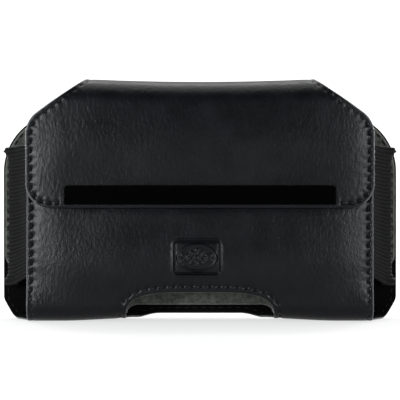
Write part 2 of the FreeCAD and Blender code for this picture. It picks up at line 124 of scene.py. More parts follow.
def rounded(corners, radii, step=0.1):
    """Points along a polyline with rounded corners, in even steps. Its two ends have radius 0."""
    corners = [np.array(c, float) for c in corners]
    line = []
    for i, (corner, radius) in enumerate(zip(corners, radii)):
        if radius == 0:
            line.append(corner[None])
            continue
        before = unit(corners[i - 1] - corner)
        after = unit(corners[i + 1] - corner)
        half = math.acos(np.clip(before @ after, -1, 1)) / 2
        centre = corner + unit(before + after) * radius / math.sin(half)
        start = corner + before * radius / math.tan(half) - centre
        turn = math.copysign(math.pi - 2 * half, after[0] * before[1] - after[1] * before[0])
        a = np.linspace(0, turn, max(3, int(abs(turn) * radius / 0.05)))
        spin = np.array([[np.cos(a), -np.sin(a)], [np.sin(a), np.cos(a)]])
        line.append(centre + np.einsum("ijk,j->ki", spin, start))
    return resampled(np.concatenate(line), step)


# ---- the side section that the blank is folded to ----


class Section:
    """A line in the YZ plane followed by its length s, with its outward normal."""

    def __init__(self, corners, radii):
        self.line = rounded(corners, radii, 0.02)
        self.s = lengths(self.line)
        tangent = unit(np.gradient(self.line, axis=0))
        self.normal = np.column_stack([tangent[:, 1], -tangent[:, 0]])

    def point(self, s):
        return np.column_stack([np.interp(s, self.s, self.line[:, k]) for k in (0, 1)])

    def out(self, s):
        return unit(np.column_stack([np.interp(s, self.s, self.normal[:, k]) for k in (0, 1)]))

    def s_at_z(self, z, low, high):
        """The length at which the line is at height z, between two lengths where it only rises or falls."""
        part = (self.s >= low) & (self.s <= high)
        s, height = self.s[part], self.line[part, 1]
        return np.interp(z, height, s) if height[-1] > height[0] else np.interp(-z, -height, s)


QUARTER = math.pi / 2
FOLD = Section(
    [(FRONT_Y, FRONT_TOP), (FRONT_Y, 0), (BACK_Y, 0), (BACK_Y, TOP), (FLAP_Y, TOP), (FLAP_Y, FLAP_END)],
    (0, FOLD_R, FOLD_R, REAR_R, FRONT_R, 0),
)
S_BOTTOM = FRONT_TOP - FOLD_R + FOLD_R * QUARTER
S_REAR_FOLD = S_BOTTOM + BACK_Y - FRONT_Y - 2 * FOLD_R
S_BACK = S_REAR_FOLD + FOLD_R * QUARTER
S_REAR_ROLL = S_BACK + TOP - REAR_R - FOLD_R
S_STRIP = S_REAR_ROLL + REAR_R * QUARTER
S_FRONT_ROLL = S_STRIP + BACK_Y - FLAP_Y - REAR_R - FRONT_R
S_FLAP = S_FRONT_ROLL + FRONT_R * QUARTER
S_END = FOLD.s[-1]
# each layer's three pieces meet at two lengths: on the back below its crease, and in the top's middle
S_CREASE = S_BACK + 41.0
S_SPLIT = (S_STRIP + S_FRONT_ROLL) / 2
S_UNDER_BAR = S_END - 6

# the flat blank's sides, as (half width, height) where they are set by height
BACK_SIDE = rounded(
    [(BACK_HALF, FOLD_R + 4), (BACK_HALF, 61.4), (STRIP_HALF, 78.6), (STRIP_HALF, TOP)], (0, 20, 6, 0)
)
FLAP_SIDE = rounded(
    [(STRIP_HALF, TOP), (FLAP_HALF, 66.3), (FLAP_HALF, FLAP_END), (0, FLAP_END)], (0, 9, 8, 0)
)
LEATHER_CORNER = (S_BOTTOM + 1.5, S_BACK + 0.5)
FELT_CORNER = (S_BACK + 5, S_BACK + 13)
# the thumb cut-out: a superellipse in the front panel, and a rear edge in the fold
CUT_TOP, CUT_HALF, CUT_SQUARE = 9.7, 24.5, 3.6
S_CUT_MIDDLE = S_BOTTOM + 1.5
S_CUT_REAR = S_REAR_FOLD + FOLD_R * math.asin((MID_Y + 8.7 - BACK_Y + FOLD_R) / FOLD_R)
S_CUT_FELT = S_REAR_FOLD + FOLD_R * math.acos(1 - 3.9 / FOLD_R)
# its rear edge in each layer, as (half width, length, corner radius)
LEATHER_CUT = (18.5, S_CUT_REAR, 8)
FELT_CUT = (23.6, S_CUT_FELT, 3.5)


def mirrored(side):
    """The line from the left end of the mirror image of side, round to its right end."""
    left = side[::-1] * (-1, 1)
    return np.concatenate([left, side[1:]])


def blank_sides(corner):
    """The blank's edge in four parts: round the front panel from S_CREASE on the left to S_CREASE on
    the right, on to S_SPLIT, round the flap, and back down the left. corner is the lengths between
    which the side steps out from the front panel's half width to the back panel's."""
    low, high = corner
    corners = [(0, 0), (FRONT_HALF, 0), (FRONT_HALF, low), (BACK_HALF, high), (BACK_HALF, high + 4)]
    mouth = rounded(corners, (0, FRONT_ROUND, 8, 5, 0))
    back_s = FOLD.s_at_z(BACK_SIDE[:, 1], S_REAR_FOLD, S_STRIP)
    back = np.column_stack([BACK_SIDE[:, 0], back_s])
    flap_s = FOLD.s_at_z(FLAP_SIDE[:, 1], S_FRONT_ROLL, S_END)
    flap = np.column_stack([FLAP_SIDE[:, 0], flap_s])
    crease = np.array([(BACK_HALF, S_CREASE)])
    split = np.array([(STRIP_HALF, S_SPLIT)])
    above = back[(back[:, 1] > mouth[-1, 1]) & (back[:, 1] < S_CREASE)]
    lower = np.concatenate([mouth, above, crease])
    upper = np.concatenate([crease, back[back[:, 1] > S_CREASE], split])
    flap = np.concatenate([split, flap])
    whole_flap = np.concatenate([flap, (flap[::-1] * (-1, 1))[1:]])
    return mirrored(lower), upper, whole_flap, upper[::-1] * (-1, 1)


def cut_outline(grow, rear_edge):
    """The thumb cut-out on the blank, anticlockwise."""
    rear, s_rear, turn = rear_edge
    half, rear = CUT_HALF + grow, rear + grow
    u = half * np.sin(np.linspace(-QUARTER, QUARTER, 400))
    z = (CUT_TOP + grow) * np.clip(1 - (np.abs(u) / half) ** CUT_SQUARE, 0, 1) ** (1 / CUT_SQUARE)
    front = np.column_stack([u, FOLD.s_at_z(z, 0, S_BOTTOM)])
    right = np.array([(half, S_BOTTOM), (half, S_CUT_MIDDLE), (rear, s_rear)])
    corners = [*right, *(right[::-1] * (-1, 1))]
    return resampled(np.concatenate([front, rounded(corners, (0, 3, turn, turn, 3, 0))[1:]]), 0.1)


def inward(loop, times=3):
    """Unit normals to the left of a closed loop of points, evened out a little."""
    along = np.roll(loop, -1, 0) - np.roll(loop, 1, 0)
    normal = unit(np.column_stack([-along[:, 1], along[:, 0]]))
    for _ in range(times):
        normal = unit(normal + np.roll(normal, 1, 0) + np.roll(normal, -1, 0))
    return normal


class Seam:
    """A line of stitches inside an edge: its points, and the place of each in stitches."""

    def __init__(self, line):
        self.line = line
        along = lengths(line)
        self.count = round(along[-1] / STITCH)
        self.phase = along / along[-1] * self.count

    def at(self, phase):
        return np.column_stack([np.interp(phase, self.phase, self.line[:, k]) for k in (0, 1)])


def inside(points, loop):
    """Whether each point is inside a closed loop."""
    odd = np.zeros(len(points), bool)
    x, y = points.T
    for (x0, y0), (x1, y1) in zip(loop, np.roll(loop, -1, 0)):
        if y0 != y1:
            odd ^= ((y0 > y) != (y1 > y)) & (x < (x1 - x0) * (y - y0) / (y1 - y0) + x0)
    return odd


def distance(points, loop):
    """Distance from each point to a loop's points, worked out in blocks."""
    found = np.full(len(points), 1e9)
    for block in np.array_split(loop[::2], 40):
        gap = points[:, None, :] - block[None]
        found = np.minimum(found, (gap**2).sum(2).min(1))
    return np.sqrt(found)


def lattice(low, high, step):
    """A staggered grid of points over a rectangle of the blank."""
    row = np.arange(low[0], high[0], step)
    rows = []
    for i, s in enumerate(np.arange(low[1], high[1], step * 0.87)):
        rows.append(np.column_stack([row + i % 2 * step / 2, np.full(len(row), s)]))
    return np.concatenate(rows)


class Pattern:
    """The blank as a triangle mesh in the plane, with rings of points along its edges.

    pts are (u, s), edge is the distance in from the nearest real edge (NO_EDGE beyond the rings),
    phase is the place along that edge's seam, in stitches, and by_cut is true in the cut-out's rings.
    """

    NO_EDGE = 99.0

    def __init__(self, inset, corner, cut_rear, grid, along, depths, dense=()):
        sides = [resampled(side, along) for side in blank_sides(corner)]
        loop = np.concatenate([side[:-1] for side in sides])
        normal = inward(loop)
        loop = loop + normal * inset
        hole = resampled(cut_outline(inset, cut_rear), along)[:-1]
        away = -inward(hole)
        starts = np.cumsum([0] + [len(side) - 1 for side in sides])
        seam_line = loop + normal * (SEAM_IN - inset)
        around = np.concatenate([np.arange(len(loop)), [0]])
        self.seams = [Seam(seam_line[around[a : b + 1]]) for a, b in zip(starts, starts[1:])]
        cut_line = hole + away * (CUT_SEAM_IN - inset)
        self.cut_seam = Seam(np.concatenate([cut_line, cut_line[:1]]))
        loop_phase = np.concatenate([seam.phase[:-1] for seam in self.seams])
        count, deep = len(loop), depths[-1]
        pts = [loop + normal * d for d in depths] + [hole + away * d for d in depths]
        edge = [np.full(count, d) for d in depths] + [np.full(len(hole), d) for d in depths]
        phase = [loop_phase] * len(depths) + [self.cut_seam.phase[:-1]] * len(depths)
        links = [np.column_stack([around[:-1], around[1:]])]
        start = count * len(depths)
        ring = np.arange(len(hole))
        links.append(start + np.column_stack([ring, np.roll(ring, -1)]))
        start += len(hole) * len(depths)
        for s, left, right in ((S_CREASE, starts[0], starts[1]), (S_SPLIT, starts[3], starts[2])):
            half = pts[len(depths) - 1][right, 0] - 0.6 * grid
            u = np.linspace(-half, half, round(2 * half / grid))
            pts.append(np.column_stack([u, np.full(len(u), s)]))
            ladder = np.arange(len(depths)) * count
            chain = np.concatenate([ladder + left, start + np.arange(len(u)), ladder[::-1] + right])
            links.append(np.column_stack([chain[:-1], chain[1:]]))
            start += len(u)
        pts.append(self.fill(grid, dense, loop, normal, hole, deep))
        self.pts = np.concatenate(pts)
        rest = len(self.pts) - sum(len(e) for e in edge)
        self.edge = np.concatenate(edge + [np.full(rest, self.NO_EDGE)])
        self.phase = np.concatenate(phase + [np.zeros(rest)])
        self.by_cut = np.zeros(len(self.pts), bool)
        self.by_cut[count * len(depths) : len(self.pts) - rest] = True
        self.tris = self.triangles(np.concatenate(links), loop, hole)

    @staticmethod
    def fill(step, dense, loop, normal, hole, deep):
        """Points inside the innermost rings, closer together in the dense patches."""
        points = lattice((-BACK_HALF, 0), (BACK_HALF, S_END), step)
        for low, high, fine in dense:
            near = ((points > np.array(low) - fine) & (points < np.array(high) + fine)).all(1)
            points = np.concatenate([points[~near], lattice(low, high, fine)])
        gap = deep + 0.55 * step
        clear = inside(points, loop + normal * deep) & (distance(points, loop) > gap)
        clear &= ~inside(points, hole) & (distance(points, hole) > gap)
        for s in (S_CREASE, S_SPLIT):
            clear &= np.abs(points[:, 1] - s) > 0.5 * step
        return points[clear]

    def triangles(self, links, loop, hole):
        """The plane's triangles between the loop and the hole, anticlockwise."""
        verts = [Vector(p) for p in self.pts]
        made = delaunay_2d_cdt(verts, links.tolist(), [], 0, 1e-7, True)
        origin = np.array([ids[0] for ids in made[3]])
        tris = origin[np.array(made[2])]
        middle = self.pts[tris].mean(1)
        tris = tris[inside(middle, loop) & ~inside(middle, hole)]
        a, b, c = (self.pts[tris[:, k]] for k in range(3))
        area = (b - a)[:, 0] * (c - a)[:, 1] - (b - a)[:, 1] * (c - a)[:, 0]
        tris[area < 0] = tris[area < 0][:, ::-1]
        return tris[np.abs(area) > 1e-6]

    def span(self, low, high):
        """The triangles between two lengths."""
        s = self.pts[self.tris, 1].mean(1)
        return self.tris[(s > low) & (s < high)]


# ---- how the whole stack of layers is shaped, and the relief of each layer ----


def crown(s, middle, reach):
    """A smooth swell along the blank, 1 at its middle."""
    return np.cos(np.clip((s - middle) / reach, -1, 1) * QUARTER) ** 2


# how far the panels and the flap are shaped out of flat, in millimetres
PANEL_CURVE, PANEL_SIDES = 0.7, 1.3
FLAP_CURVE, FLAP_SIDES = 0.5, 1.0
BACK_SIDES = 0.5
STEP, FLAP_CROWN, PANEL_CROWN = 1.0, 0.9, 0.7
FOOT, SAG = 0.9, 1.0
WAVE, RIPPLE = 0.10, 0.07
# between these lengths, at the flap's lower edge, the front panel steps in under the flap
S_STEP_LOW, S_STEP_HIGH = FRONT_TOP - 40, FRONT_TOP - 34.8


def stack_shift(u, s):
    """How far all the layers are pushed out (or in, below 0) at a place on the blank."""
    front = 1 - smooth(s, FRONT_TOP - 16, FRONT_TOP - 4)
    flap = smooth(s, S_FLAP - 2, S_FLAP + 8)
    back = smooth(s, S_BACK, S_BACK + 12) * (1 - smooth(s, S_REAR_ROLL - 12, S_REAR_ROLL))
    side = np.clip((np.abs(u) - 44) / 13, 0, 1.2) ** 2
    bulge = (u / FRONT_HALF) ** 2
    shift = (0.2 - PANEL_CURVE * bulge - PANEL_SIDES * side) * front
    shift -= (FLAP_CURVE * bulge + FLAP_SIDES * side) * flap
    shift -= BACK_SIDES * np.clip((np.abs(u) - 52) / 15, 0, 1) ** 2 * back
    flat = 1 - 0.6 * bulge
    below_flap = smooth(s, S_STEP_LOW, S_STEP_HIGH) * (1 - smooth(s, FRONT_TOP - 20, FRONT_TOP - 6))
    shift += STEP * below_flap * flat
    shift += FLAP_CROWN * crown(s, S_FLAP + 12, 16) * flat
    shift += PANEL_CROWN * crown(s, FRONT_TOP - 20, 16) * flat
    foot = bell(s - (S_BOTTOM + 2), 11) * (1 - smooth(np.abs(u), 22, 46))
    sag = smooth(s, S_REAR_ROLL, S_STRIP + 2) * (1 - smooth(s, S_FRONT_ROLL + 2, S_FLAP + 2))
    shift -= FOOT * foot + SAG * sag * np.clip(1 - (u / 40) ** 2, 0, 1)
    waves = WAVE * np.sin(u / 9.3 + 1.1) * np.sin(s / 11.7 + 0.4)
    waves += RIPPLE * np.sin(u / 5.1 + s / 7.9 + 2.0)
    soft = np.maximum(front, np.maximum(flap, back)) * (1 - smooth(np.abs(u), 50, 56))
    by_clip = back * (1 - smooth(np.abs(u), 18, 26))
    by_bar = smooth(s, S_END - 12, S_END - 8)
    return shift + waves * soft * (1 - by_clip) * (1 - by_bar)


def placed(pts, out):
    """Points of the blank carried onto the folded section, out millimetres outside the leather's face."""
    u, s = pts.T
    yz = FOLD.point(s) + FOLD.out(s) * (out + stack_shift(u, s))[:, None]
    return np.column_stack([u, yz])


GROOVE, PIT, PUCKER = 0.14, 0.58, 0.15


def seam_relief(edge, phase, inset, pull=1.0, gather=1.0):
    """The groove, the pit round each stitch and the puckers along a seam that is inset from the edge,
    for a thread pulled more or less tight, and leather gathered by it more or less."""
    across = edge - inset
    along = (phase - np.floor(phase) - 0.5) * STITCH
    groove = GROOVE * bell(across, 0.7)
    pit = PIT * bell(across - 0.3 * along, 0.43) * bell(along, 0.95) ** 1.5
    pucker = PUCKER * gather * bell(along, 0.9) * bell(across - 0.9, 1.4)
    return -pull * (groove + pit + pucker)


EDGE_FULLNESS = 2.2


def edge_round(edge, half):
    """Half the thickness at a distance in from a rounded edge, a little fuller than a circle's."""
    t = 1 - np.clip(edge / half, 0, 1)
    return half * (1 - t**EDGE_FULLNESS) ** (1 / EDGE_FULLNESS)


# ---- meshes ----


def mesh_object(name, verts, faces):
    mesh = bpy.data.meshes.new(name)
    mesh.from_pydata((np.asarray(verts) * MM).tolist(), [], [list(f) for f in faces])
    mesh.validate()
    mesh.polygons.foreach_set("use_smooth", np.ones(len(mesh.polygons), bool))
    mesh.update()
    piece = bpy.data.objects.new(name, mesh)
    bpy.context.scene.collection.objects.link(piece)
    return piece


def point_value(piece, name, values):
    attribute = piece.data.attributes.new(name, "FLOAT", "POINT")
    attribute.data.foreach_set("value", np.asarray(values, np.float32))


# the edges where the pale edge line is painted weaker, as painted shade, are given this much more distance
# from the edge
EDGE_SHADE_SHIFT = 0.35


def sheet_piece(name, pattern, low, high, upper, lower):
    """A closed sheet from the pattern's triangles between two lengths, with upper and lower surfaces
    given for every point of the pattern. They meet at the blank's real edges. The lower surface has
    the piece's second material, and the value "edge" is the distance in from a real edge, pushed
    further in round the cut-out and along the flap's lower edge so that the pale edge line is painted
    weaker there, as painted shade."""
    tris = pattern.span(low, high)
    used = np.unique(tris)
    rim = pattern.edge[used] == 0
    count = len(used)
    number = np.full(len(pattern.pts), -1)
    number[used] = np.arange(count)
    below = np.full(len(pattern.pts), -1)
    below[used[rim]] = number[used[rim]]
    below[used[~rim]] = count + np.arange((~rim).sum())
    verts = np.concatenate([upper[used], lower[used[~rim]]])
    faces = [*number[tris][:, ::-1].tolist(), *below[tris].tolist()]
    pairs = np.concatenate([tris[:, [0, 1]], tris[:, [1, 2]], tris[:, [2, 0]]])
    code = np.sort(pairs, 1) @ (len(pattern.pts), 1)
    _, first, times = np.unique(code, return_index=True, return_counts=True)
    walls = []
    for a, b in pairs[first[times == 1]]:
        corners = [number[a], number[b], below[b], below[a]]
        kept = list(dict.fromkeys(corners))
        if len(kept) > 2:
            walls.append(kept)
    piece = mesh_object(name, verts, faces + walls)
    back_faces = np.zeros(len(piece.data.polygons), np.int32)
    back_faces[len(tris) : 2 * len(tris)] = 1
    piece.data.polygons.foreach_set("material_index", back_faces)
    # round the cut-out and along the flap's lower edge, where the edge is out of the light, its pale line
    # is painted weaker: painted shade
    shaded_edges = pattern.by_cut | (pattern.pts[:, 1] > S_END - 1.5)
    from_edge = pattern.edge + EDGE_SHADE_SHIFT * shaded_edges
    point_value(piece, "edge", np.concatenate([from_edge[used], from_edge[used[~rim]]]))
    wall_verts = {v for wall in walls for v in wall}
    for edge in piece.data.edges:
        if edge.vertices[0] in wall_verts and edge.vertices[1] in wall_verts:
            edge.use_edge_sharp = True
    return piece


def thread_piece(name, runs, out):
    """Rows of separate stitches: each dips into the layers at its two ends and lies on them between.

    runs are (seam, stitches); out is how far out of the leather's face they lie.
    """
    steps, sides = 9, 8
    dip = STITCH_DIP if out > -LEATHER / 2 else -STITCH_DIP
    t = np.linspace(0, 1, steps)
    turn = np.arange(sides) * 2 * np.pi / sides
    verts, faces = [], []
    for seam, stitches in runs:
        for k in stitches:
            pts = seam.at(k + STITCH_START + STITCH_SHARE * t)
            line = placed(pts, out - dip * np.abs(2 * t - 1) ** 4)
            tangent = unit(np.gradient(line, axis=0))
            normal = np.column_stack([np.zeros(steps), FOLD.out(pts[:, 1])])
            side = unit(np.cross(tangent, normal))
            up = np.cross(side, tangent)
            fat = THREAD_R * np.sqrt(np.clip(1 - (2 * t - 1) ** 8, 0.02, 1))
            ring = side[:, None] * np.cos(turn)[:, None] + up[:, None] * np.sin(turn)[:, None]
            base = len(verts) * steps * sides
            verts.append((line[:, None] + ring * fat[:, None, None]).reshape(-1, 3))
            for i in range(steps - 1):
                for j in range(sides):
                    a, b = base + i * sides + j, base + i * sides + (j + 1) % sides
                    faces.append((a, b, b + sides, a + sides))
            faces.append([base + j for j in range(sides)][::-1])
            faces.append([base + (steps - 1) * sides + j for j in range(sides)])
    return mesh_object(name, np.concatenate(verts), faces)


def grid_piece(name, upper, lower):
    """A closed sheet between two grids of points with the same rows and columns."""
    rows, columns = upper.shape[:2]
    count = rows * columns
    number = np.arange(count).reshape(rows, columns)
    corners = (number[:-1, :-1], number[:-1, 1:], number[1:, 1:], number[1:, :-1])
    quads = np.stack(corners, -1).reshape(-1, 4)
    rim = np.concatenate([number[0], number[1:, -1], number[-1, -2::-1], number[-2:0:-1, 0]])
    after = np.roll(rim, -1)
    walls = np.column_stack([after, rim, rim + count, after + count])
    faces = np.concatenate([quads, quads[:, ::-1] + count, walls])
    verts = np.concatenate([upper.reshape(-1, 3), lower.reshape(-1, 3)])
    return mesh_object(name, verts, faces)


# ---- materials ----


class Finish:
    """A material on the Principled shader: its textures are sized in millimetres in the part's frame."""

    def __init__(self, name, **sockets):
        self.material = bpy.data.materials.new(name)
        self.material.use_nodes = True
        self.tree = self.material.node_tree
        self.shader = self.tree.nodes["Principled BSDF"]
        self.place = self.node("ShaderNodeTexCoord").outputs["Object"]
        for key, value in sockets.items():
            self.shader.inputs[key.replace("_", " ")].default_value = value

    def node(self, kind, inputs=(), **settings):
        made = self.tree.nodes.new(kind)
        for key, value in settings.items():
            setattr(made, key, value)
        for key, value in dict(inputs).items():
            if isinstance(value, bpy.types.NodeSocket):
                self.tree.links.new(value, made.inputs[key])
            else:
                made.inputs[key].default_value = value
        return made

    def noise(self, size, detail=2.0, stretch=(1, 1, 1)):
        factors = {0: self.place, 1: stretch}
        place = self.node("ShaderNodeVectorMath", factors, operation="MULTIPLY").outputs[0]
        inputs = {"Vector": place, "Scale": 1 / (size * MM), "Detail": detail}
        return self.node("ShaderNodeTexNoise", inputs).outputs["Fac"]

    def cells(self, size):
        inputs = {"Vector": self.place, "Scale": 1 / (size * MM), "Smoothness": 0.6}
        return self.node("ShaderNodeTexVoronoi", inputs, feature="SMOOTH_F1").outputs["Distance"]

    def value(self, name):
        return self.node("ShaderNodeAttribute", attribute_name=name).outputs["Fac"]

    def scaled(self, value, low, high, to_low=0.0, to_high=1.0):
        inputs = {"Value": value, "From Min": low, "From Max": high, "To Min": to_low, "To Max": to_high}
        return self.node("ShaderNodeMapRange", inputs).outputs["Result"]

    def sum(self, first, second, share=1.0):
        inputs = {0: second, 1: share, 2: first}
        return self.node("ShaderNodeMath", inputs, operation="MULTIPLY_ADD").outputs[0]

    def mix(self, share, first, second):
        made = self.node("ShaderNodeMix", data_type="RGBA")
        for socket, value in zip((0, 6, 7), (share, first, second)):
            if isinstance(value, bpy.types.NodeSocket):
                self.tree.links.new(value, made.inputs[socket])
            else:
                made.inputs[socket].default_value = value if socket == 0 else (*value, 1)
        return made.outputs[2]

    def colour(self, value):
        self.tree.links.new(value, self.shader.inputs["Base Color"])

    def rough(self, value):
        self.tree.links.new(value, self.shader.inputs["Roughness"])

    def bump(self, height, depth, strength=1.0):
        inputs = {"Height": height, "Distance": depth * MM, "Strength": strength}
        normal = self.node("ShaderNodeBump", inputs).outputs["Normal"]
        self.tree.links.new(normal, self.shader.inputs["Normal"])
        return self.material


def leather():
    made = Finish("smooth_black_leather", IOR=1.42, Specular_IOR_Level=0.2)
    patches, grain, pores = made.noise(7.0, 3), made.noise(0.95, 3, (1, 1, 0.55)), made.noise(0.3, 2)
    mottle = made.scaled(made.sum(patches, grain, 0.8), 0.6, 1.2)
    face = made.mix(mottle, (0.0008, 0.0009, 0.0013), (0.0021, 0.0023, 0.0032))
    # the cut edge's own paler grey, raised into a painted highlight that lines every edge of the leather
    cut_edge_and_highlight = made.scaled(made.value("edge"), 0.2, 0.5, 0.8, 0.0)
    made.colour(made.mix(cut_edge_and_highlight, face, (0.085, 0.088, 0.092)))
    made.rough(made.scaled(made.sum(patches, pores, 0.5), 0.4, 1.0, 0.31, 0.40))
    return made.bump(made.sum(made.sum(grain, pores, 0.25), patches, 0.6), 0.12)


def leather_back():
    made = Finish("black_split_leather", Roughness=0.95, Specular_IOR_Level=0.05)
    nap, fibres = made.noise(1.6, 3), made.noise(0.3, 4)
    made.colour(made.mix(nap, (0.0006, 0.0006, 0.0006), (0.0021, 0.0020, 0.0019)))
    return made.bump(fibres, 0.08, 0.8)


def felt():
    sheen = dict(Sheen_Weight=0.25, Sheen_Roughness=0.6)
    made = Finish("grey_green_felt", Roughness=1.0, Specular_IOR_Level=0.15, **sheen)
    clumps, fibres, hair = made.noise(1.5, 4), made.noise(0.35, 4), made.noise(0.2, 2, (0.25, 1.6, 1))
    shade = made.scaled(made.sum(clumps, fibres, 0.8), 0.6, 1.2)
    made.colour(made.mix(shade, (0.010, 0.011, 0.009), (0.084, 0.089, 0.073)))
    return made.bump(made.sum(fibres, hair, 0.8), 0.12, 0.8)


def elastic():
    made = Finish("ribbed_black_elastic", Roughness=0.78, Specular_IOR_Level=0.12)
    yarn, fuzz = made.noise(0.45, 2, (0.3, 0.3, 1.6)), made.noise(0.16, 3)
    # the yarn's own random tone, plus painted shade in the ribs' troughs and a painted highlight on their
    # crests
    yarn_tone_and_rib_shade = made.sum(made.scaled(yarn, 0.3, 0.7, 0, 0.4), made.value("rib"), 0.6)
    made.colour(made.mix(yarn_tone_and_rib_shade, (0.0006, 0.0006, 0.0006), (0.0075, 0.0075, 0.0077)))
    return made.bump(made.sum(yarn, fuzz, 0.6), 0.08)


def thread():
    made = Finish("waxed_black_thread", Roughness=0.7, Specular_IOR_Level=0.15)
    ply = made.noise(0.2, 2, (1, 1, 0.4))
    made.colour(made.mix(ply, (0.0004, 0.0004, 0.0005), (0.0022, 0.0022, 0.0024)))
    return made.bump(ply, 0.06)


def bar_black():
    made = Finish("flat_black_trim", IOR=1.15, Roughness=0.55, Specular_IOR_Level=0.05)
    tone, sand = made.noise(5.0), made.noise(0.15)
    made.colour(made.mix(tone, (0.0002, 0.0002, 0.0002), (0.0004, 0.0004, 0.0004)))
    return made.bump(sand, 0.01)


def plastic():
    made = Finish("fine_textured_plastic", Specular_IOR_Level=0.45)
    spark, tone = made.cells(0.4), made.noise(9.0, 3)
    made.colour(made.mix(tone, (0.009, 0.009, 0.010), (0.016, 0.016, 0.017)))
    made.rough(made.scaled(made.sum(tone, spark, 0.3), 0.3, 0.9, 0.4, 0.56))
    return made.bump(spark, 0.05)


def metal(name, colour, worn, roughness):
    made = Finish(name, Metallic=1.0)
    scratches, tone = made.noise(0.3, 3, (0.08, 1, 1)), made.noise(3.0, 3)
    made.colour(made.mix(made.scaled(tone, 0.35, 0.7), colour, worn))
    made.rough(made.scaled(made.sum(scratches, tone, 0.6), 0.4, 1.1, roughness - 0.08, roughness + 0.1))
    return made.bump(scratches, 0.008)


def card():
    made = Finish("grey_fibre_board", Roughness=0.9, Specular_IOR_Level=0.2)
    flecks, fibres = made.noise(0.8, 3), made.noise(0.25, 3, (0.3, 1, 1))
    made.colour(made.mix(made.scaled(flecks, 0.35, 0.65), (0.10, 0.085, 0.065), (0.19, 0.165, 0.13)))
    return made.bump(fibres, 0.05)


def pale_paper():
    glow = dict(Emission_Color=(1, 1, 1, 1), Emission_Strength=0.64)
    made = Finish("pale_paper", Roughness=0.95, Specular_IOR_Level=0.1, **glow)
    made.colour(made.mix(made.noise(60.0, 3), (0.24, 0.24, 0.24), (0.26, 0.26, 0.26)))
    return made.bump(made.noise(2.0, 3), 0.02, 0.3)


LOOKS = {
    "leather": leather(),
    "felt": felt(),
    "board": card(),
    "elastic": elastic(),
    "magnet": metal("nickel_plate", (0.55, 0.54, 0.50), (0.42, 0.41, 0.39), 0.3),
    "thread": thread(),
    "steel": metal("zinc_plated_steel", (0.50, 0.51, 0.52), (0.36, 0.36, 0.37), 0.34),
    "clip_plastic": plastic(),
    "trim": bar_black(),
}


def finished(piece, slot, bodies, *nodes, start=None, end=None):
    """Give a new piece its slot's material, parent it to its body or bake in its transform if it has two,
    and hide the CAD nodes that it stands for. start and end are (y, z), and are not used."""
    piece.data.materials.append(LOOKS[slot])
    if nodes:
        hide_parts(*nodes)
    if isinstance(bodies, str):
        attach(piece, bodies)
    else:
        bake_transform(piece)
    return piece


# ---- the leather blank, its lining and its stitches ----

# where each crease's bend starts and ends, as (y, z), and the bodies that it joins
LIFT = dict(start=(8.55, 75.4), end=(2.75, 81.2))
BEND = dict(start=(-9.49, 81.7), end=(-18.45, 72.7))
LIFT_BODIES = ("pouch", "flap_top")
BEND_BODIES = ("flap_top", "flap_front")
STAMP_U, STAMP_S = -1.0, FRONT_TOP - 21.2
STAMP_W, STAMP_H, STAMP_ROUND = 15.5, 11.5, 1.6
SCROLL_AT = 4.4
# each board's half width, the lengths between which it lies, and its body
BOARDS = {
    "front_board": (50.0, FRONT_TOP - 67, FRONT_TOP - 13, "pouch"),
    "back_board": (56.0, S_BACK + 3.0, S_REAR_ROLL - 4.5, "pouch"),
    "flap_board": (50.0, S_FLAP + 3.5, S_FLAP + 21, "flap_front"),
}


def stamp_relief(u, s):
    """The tooling pressed into the front: a rounded frame round a flower between two scrolls."""
    x, z = u - STAMP_U, STAMP_S - s
    beyond = np.stack([np.abs(x) - STAMP_W / 2, np.abs(z) - STAMP_H / 2]) + STAMP_ROUND
    rect = np.hypot(*np.maximum(beyond, 0)) + np.minimum(beyond.max(0), 0) - STAMP_ROUND
    field = 1 - smooth(rect, -1.3, -0.7)
    radius, angle = np.hypot(x, z), np.arctan2(z, x)
    flower = bell(radius - 2.1 - 0.6 * np.cos(8 * angle), 0.34) + bell(radius - 0.7, 0.3)
    side_radius = np.hypot(np.abs(x) - SCROLL_AT, z)
    side_angle = np.arctan2(z, np.abs(x) - SCROLL_AT)
    scroll = bell(side_radius - 1.1 - 0.3 * np.cos(5 * side_angle), 0.28)
    oval = bell((np.hypot(x / 6.3, z / 4.3) - 1) * 5, 0.3)
    raised = np.clip(flower + scroll + oval, 0, 1)
    frame_line = bell(rect + 0.55, 0.42)
    lip = bell(rect - 0.15, 0.3)
    return 0.25 * lip - 0.42 * field * (1 - 0.9 * raised) - 0.8 * frame_line


def leather_faces(pattern):
    """The leather's two surfaces. Its seams are pulled less tight over the front roll, low on the
    front panel and round the cut-out, and stop under the bar."""
    u, s = pattern.pts.T
    inset = np.where(pattern.by_cut, CUT_SEAM_IN, SEAM_IN)
    under_bar = (s > S_UNDER_BAR) & (np.abs(u) < BAR_REACH)
    slope = smooth(s, S_STRIP, S_FRONT_ROLL) * (1 - smooth(s, S_FLAP + 4, S_FLAP + 10))
    low = smooth(s, FRONT_TOP - 22, FRONT_TOP - 6) * (s < S_BACK)
    pull = np.where(pattern.by_cut, 0.95, 1.0 - 0.55 * slope - 0.5 * low)
    relief = seam_relief(pattern.edge, pattern.phase, inset, pull, ~pattern.by_cut) * ~under_bar
    relief += stamp_relief(u, s)
    half = edge_round(pattern.edge, LEATHER / 2)
    middle = -LEATHER / 2
    return placed(pattern.pts, middle + half + relief), placed(pattern.pts, middle - half)


def felt_faces(pattern):
    """The felt's two surfaces, with a pocket towards the leather for each board."""
    u, s = pattern.pts.T
    pocket = np.zeros(len(u))
    for half, low, high, _ in BOARDS.values():
        across = 1 - smooth(np.abs(u), half + 0.3, half + 1.8)
        along = smooth(s, low - 1.8, low - 0.3) * (1 - smooth(s, high + 0.3, high + 1.8))
        pocket = np.maximum(pocket, across * along)
    middle, half = -(LEATHER + LAYERS) / 2, edge_round(pattern.edge, (LAYERS - LEATHER) / 2)
    dimples = seam_relief(pattern.edge, pattern.phase, SEAM_IN - FELT_MARGIN, 0.35)
    upper = placed(pattern.pts, middle + half - BOARD * pocket)
    return upper, placed(pattern.pts, middle - half - dimples)


